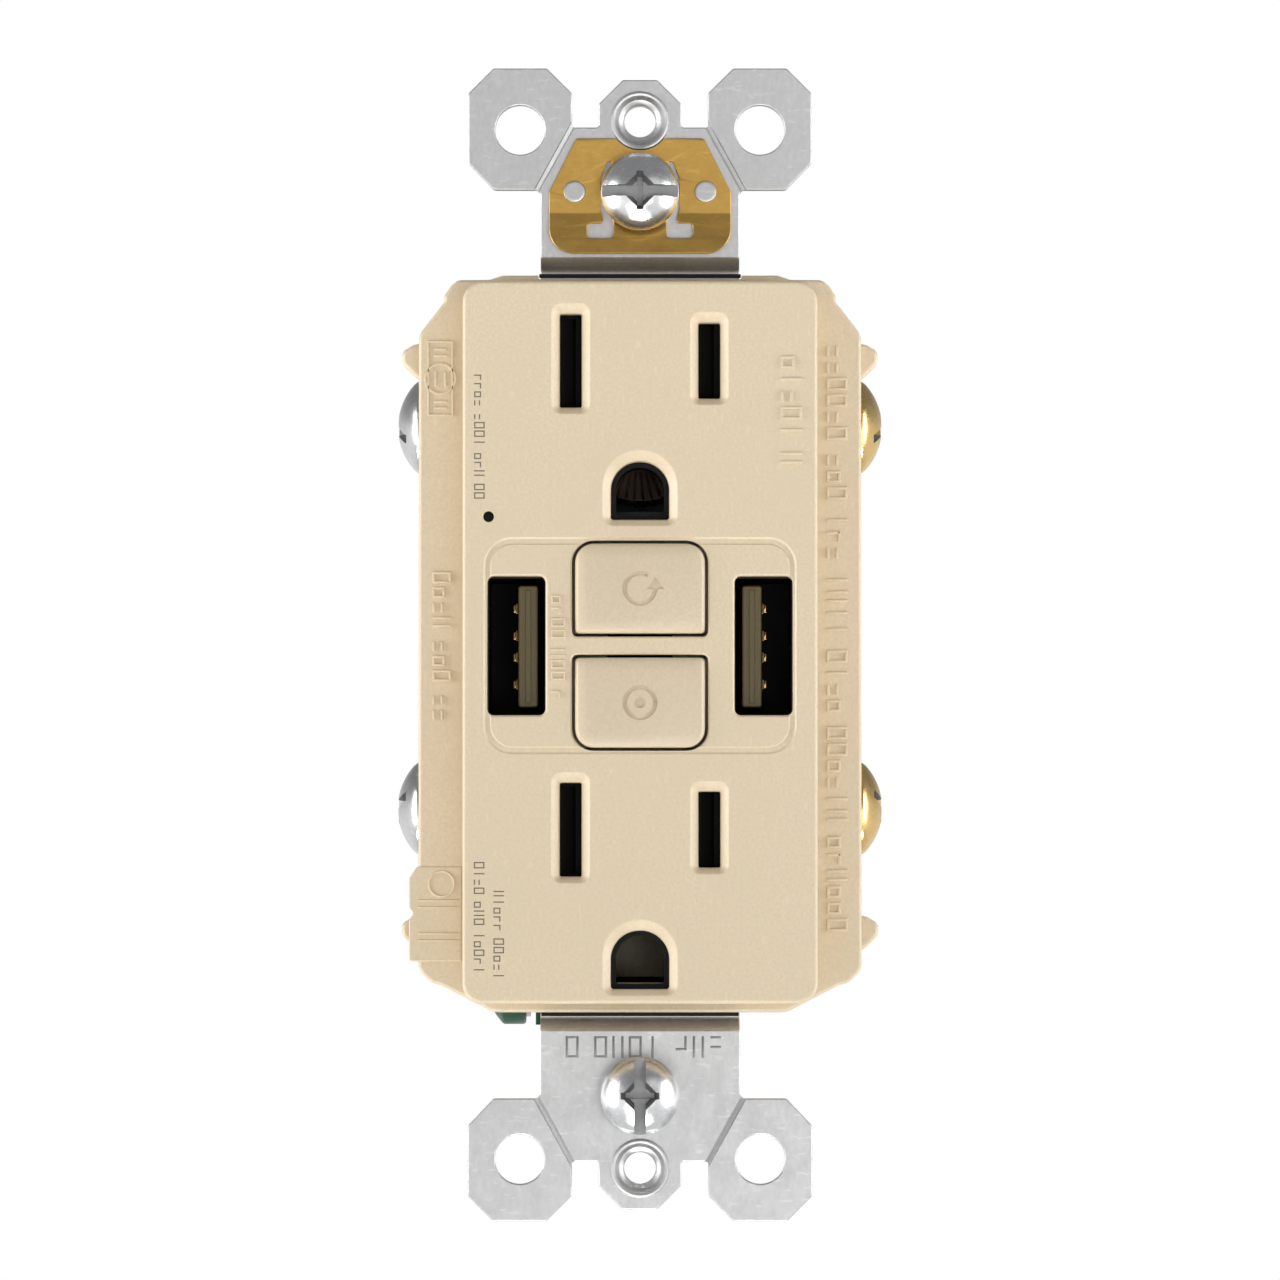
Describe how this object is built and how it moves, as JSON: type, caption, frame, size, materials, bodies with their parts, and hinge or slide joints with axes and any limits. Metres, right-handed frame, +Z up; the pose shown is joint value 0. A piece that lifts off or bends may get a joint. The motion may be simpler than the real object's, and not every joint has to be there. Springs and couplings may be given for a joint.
{
  "type": "gfci outlet",
  "caption": "Wall outlet with ground-fault protection: two grounded sockets, reset and test buttons, charging ports and side wire terminals on a mounting strap.",
  "frame": {"origin": "centre of the mounting strap's rear face, which rests on the wall surface", "axes": "+X to the right of someone facing the outlet, +Y into the wall, +Z up"},
  "size_m": [0.0456, 0.0392, 0.1066],
  "materials": {
    "cover_plastic": "moulded, fine satin",
    "button_plastic": "moulded, satin",
    "housing_plastic": "moulded, matt",
    "strap_zinc": "zinc plated, stamped",
    "clip_brass": "stamped, satin",
    "rivet_steel": "turned",
    "box_screw_zinc": "bright zinc",
    "retainer_fibre": "pressed fibre",
    "neutral_screw_nickel": "nickel plated",
    "hot_screw_brass": "satin",
    "plate_steel": "zinc plated",
    "ground_green": "dyed green plating",
    "contact_brass": "stamped",
    "spring_steel": "drawn wire",
    "frame_plastic": "moulded, matt",
    "shutter_plastic": "black acetal",
    "port_steel": "blackened sheet",
    "tongue_plastic": "moulded",
    "port_contact_gold": "gold flash",
    "board_green": "solder mask",
    "light_clear": "smoked, moulded",
    "coil_ferrite": "wound core, lacquered",
    "winding_copper": "enamelled copper wire",
    "component_epoxy": "epoxy dipped",
    "transformer_tape": "taped winding"
  },
  "bodies": {
    "outlet_body": {"front_cover": "cover_plastic", "mounting_strap": "strap_zinc", "grounding_clip": "clip_brass", "clip_rivets": "rivet_steel", "reset_spring": "spring_steel", "test_spring": "spring_steel", "test_contact_leaf": "contact_brass", "upper_shutter_tray": "frame_plastic", "lower_shutter_tray": "frame_plastic", "upper_shutter_spring": "spring_steel", "lower_shutter_spring": "spring_steel", "middle_housing": "frame_plastic", "ground_contacts": "contact_brass", "contact_rivets": "rivet_steel", "neutral_load_bus": "contact_brass", "hot_load_bus": "contact_brass", "neutral_line_terminal": "contact_brass", "hot_line_terminal": "contact_brass", "ground_terminal_plate": "ground_green", "left_port_shell": "port_steel", "right_port_shell": "port_steel", "left_port_tongue": "tongue_plastic", "right_port_tongue": "tongue_plastic", "port_contacts": "port_contact_gold", "port_board": "board_green", "indicator_light_pipe": "light_clear", "main_board": "board_green", "sense_coils": "coil_ferrite", "sense_conductors": "contact_brass", "solenoid_bobbin": "frame_plastic", "solenoid_winding": "winding_copper", "plunger_spring": "spring_steel", "lifter_springs": "spring_steel", "board_components": "component_epoxy", "port_transformer": "transformer_tape", "rear_housing": "housing_plastic", "assembly_screws": "plate_steel"},
    "reset_button": {"reset_button": "button_plastic"},
    "test_button": {"test_button": "button_plastic"},
    "upper_shutter": {"upper_shutter": "shutter_plastic"},
    "lower_shutter": {"lower_shutter": "shutter_plastic"},
    "trip_plunger": {"solenoid_plunger": "port_steel", "latch_plate": "port_steel"},
    "contact_lifter": {"contact_lifter": "shutter_plastic", "moving_contacts": "contact_brass"},
    "upper_neutral_plate": {"upper_neutral_plate": "plate_steel"},
    "upper_neutral_screw": {"upper_neutral_screw": "neutral_screw_nickel"},
    "upper_hot_plate": {"upper_hot_plate": "plate_steel"},
    "upper_hot_screw": {"upper_hot_screw": "hot_screw_brass"},
    "lower_neutral_plate": {"lower_neutral_plate": "plate_steel"},
    "lower_neutral_screw": {"lower_neutral_screw": "neutral_screw_nickel"},
    "lower_hot_plate": {"lower_hot_plate": "plate_steel"},
    "lower_hot_screw": {"lower_hot_screw": "hot_screw_brass"},
    "ground_lock_washer": {"ground_lock_washer": "plate_steel"},
    "ground_screw": {"ground_screw": "ground_green"},
    "upper_screw_retainer": {"upper_screw_retainer": "retainer_fibre"},
    "upper_box_screw": {"upper_box_screw": "box_screw_zinc"},
    "lower_screw_retainer": {"lower_screw_retainer": "retainer_fibre"},
    "lower_box_screw": {"lower_box_screw": "box_screw_zinc"}
  },
  "joints": [
    {"name": "reset_press", "type": "slide", "parent": "outlet_body", "child": "reset_button", "axis": [0, 1, 0], "range_m": [0, 0.0012], "stiffness_N_per_m": 800, "springref_m": -0.0012, "deforming": ["reset_spring"]},
    {"name": "test_press", "type": "slide", "parent": "outlet_body", "child": "test_button", "axis": [0, 1, 0], "range_m": [0, 0.0015], "stiffness_N_per_m": 600, "springref_m": -0.0012, "deforming": ["test_spring"]},
    {"name": "upper_shutter_slide", "type": "slide", "parent": "outlet_body", "child": "upper_shutter", "axis": [1, 0, 0], "range_m": [0, 0.0028], "stiffness_N_per_m": 120, "springref_m": -0.0015, "deforming": ["upper_shutter_spring"]},
    {"name": "lower_shutter_slide", "type": "slide", "parent": "outlet_body", "child": "lower_shutter", "axis": [1, 0, 0], "range_m": [0, 0.0028], "stiffness_N_per_m": 120, "springref_m": -0.0015, "deforming": ["lower_shutter_spring"]},
    {"name": "trip_plunger_pull", "type": "slide", "parent": "outlet_body", "child": "trip_plunger", "axis": [0, 0, -1], "range_m": [0, 0.0015], "stiffness_N_per_m": 200, "springref_m": -0.0012, "deforming": ["plunger_spring"]},
    {"name": "contact_lifter_rise", "type": "slide", "parent": "outlet_body", "child": "contact_lifter", "axis": [0, -1, 0], "range_m": [0, 0.0012], "stiffness_N_per_m": 300, "springref_m": -0.0008, "deforming": ["lifter_springs"]},
    {"name": "upper_neutral_plate_slide", "type": "slide", "parent": "outlet_body", "child": "upper_neutral_plate", "axis": [1, 0, 0], "range_m": [0, 0.00159]},
    {"name": "upper_neutral_screw_turn", "type": "hinge", "parent": "upper_neutral_plate", "child": "upper_neutral_screw", "pos_m": [-0.0201, 0.013, 0.0208], "axis": [1, 0, 0], "range_deg": [0, 720]},
    {"name": "upper_hot_plate_slide", "type": "slide", "parent": "outlet_body", "child": "upper_hot_plate", "axis": [-1, 0, 0], "range_m": [0, 0.00159]},
    {"name": "upper_hot_screw_turn", "type": "hinge", "parent": "upper_hot_plate", "child": "upper_hot_screw", "pos_m": [0.0201, 0.013, 0.0208], "axis": [-1, 0, 0], "range_deg": [0, 720]},
    {"name": "lower_neutral_plate_slide", "type": "slide", "parent": "outlet_body", "child": "lower_neutral_plate", "axis": [1, 0, 0], "range_m": [0, 0.00159]},
    {"name": "lower_neutral_screw_turn", "type": "hinge", "parent": "lower_neutral_plate", "child": "lower_neutral_screw", "pos_m": [-0.0201, 0.013, -0.0151], "axis": [1, 0, 0], "range_deg": [0, 720]},
    {"name": "lower_hot_plate_slide", "type": "slide", "parent": "outlet_body", "child": "lower_hot_plate", "axis": [-1, 0, 0], "range_m": [0, 0.00159]},
    {"name": "lower_hot_screw_turn", "type": "hinge", "parent": "lower_hot_plate", "child": "lower_hot_screw", "pos_m": [0.0201, 0.013, -0.0151], "axis": [-1, 0, 0], "range_deg": [0, 720]},
    {"name": "ground_washer_slide", "type": "slide", "parent": "outlet_body", "child": "ground_lock_washer", "axis": [1, 0, 0], "range_m": [0, 0.00044]},
    {"name": "ground_screw_turn", "type": "hinge", "parent": "ground_lock_washer", "child": "ground_screw", "pos_m": [-0.01065, 0.0095, -0.0312], "axis": [1, 0, 0], "range_deg": [0, 200]},
    {"name": "upper_box_screw_seat", "type": "slide", "parent": "outlet_body", "child": "upper_screw_retainer", "axis": [0, 1, 0], "range_m": [0, 0.0009]},
    {"name": "upper_box_screw_turn", "type": "hinge", "parent": "upper_screw_retainer", "child": "upper_box_screw", "pos_m": [0, 0, 0.04167], "axis": [0, 1, 0], "continuous": true},
    {"name": "lower_box_screw_seat", "type": "slide", "parent": "outlet_body", "child": "lower_screw_retainer", "axis": [0, 1, 0], "range_m": [0, 0.0015]},
    {"name": "lower_box_screw_turn", "type": "hinge", "parent": "lower_screw_retainer", "child": "lower_box_screw", "pos_m": [0, 0, -0.04167], "axis": [0, 1, 0], "continuous": true}
  ],
  "couplings": [
    {"joint": "upper_neutral_screw_turn", "follows": "upper_neutral_plate_slide", "rad_per_m": 7915.8},
    {"joint": "upper_hot_screw_turn", "follows": "upper_hot_plate_slide", "rad_per_m": 7915.8},
    {"joint": "lower_neutral_screw_turn", "follows": "lower_neutral_plate_slide", "rad_per_m": 7915.8},
    {"joint": "lower_hot_screw_turn", "follows": "lower_hot_plate_slide", "rad_per_m": 7915.8},
    {"joint": "ground_screw_turn", "follows": "ground_washer_slide", "rad_per_m": 7915.8}
  ]
}
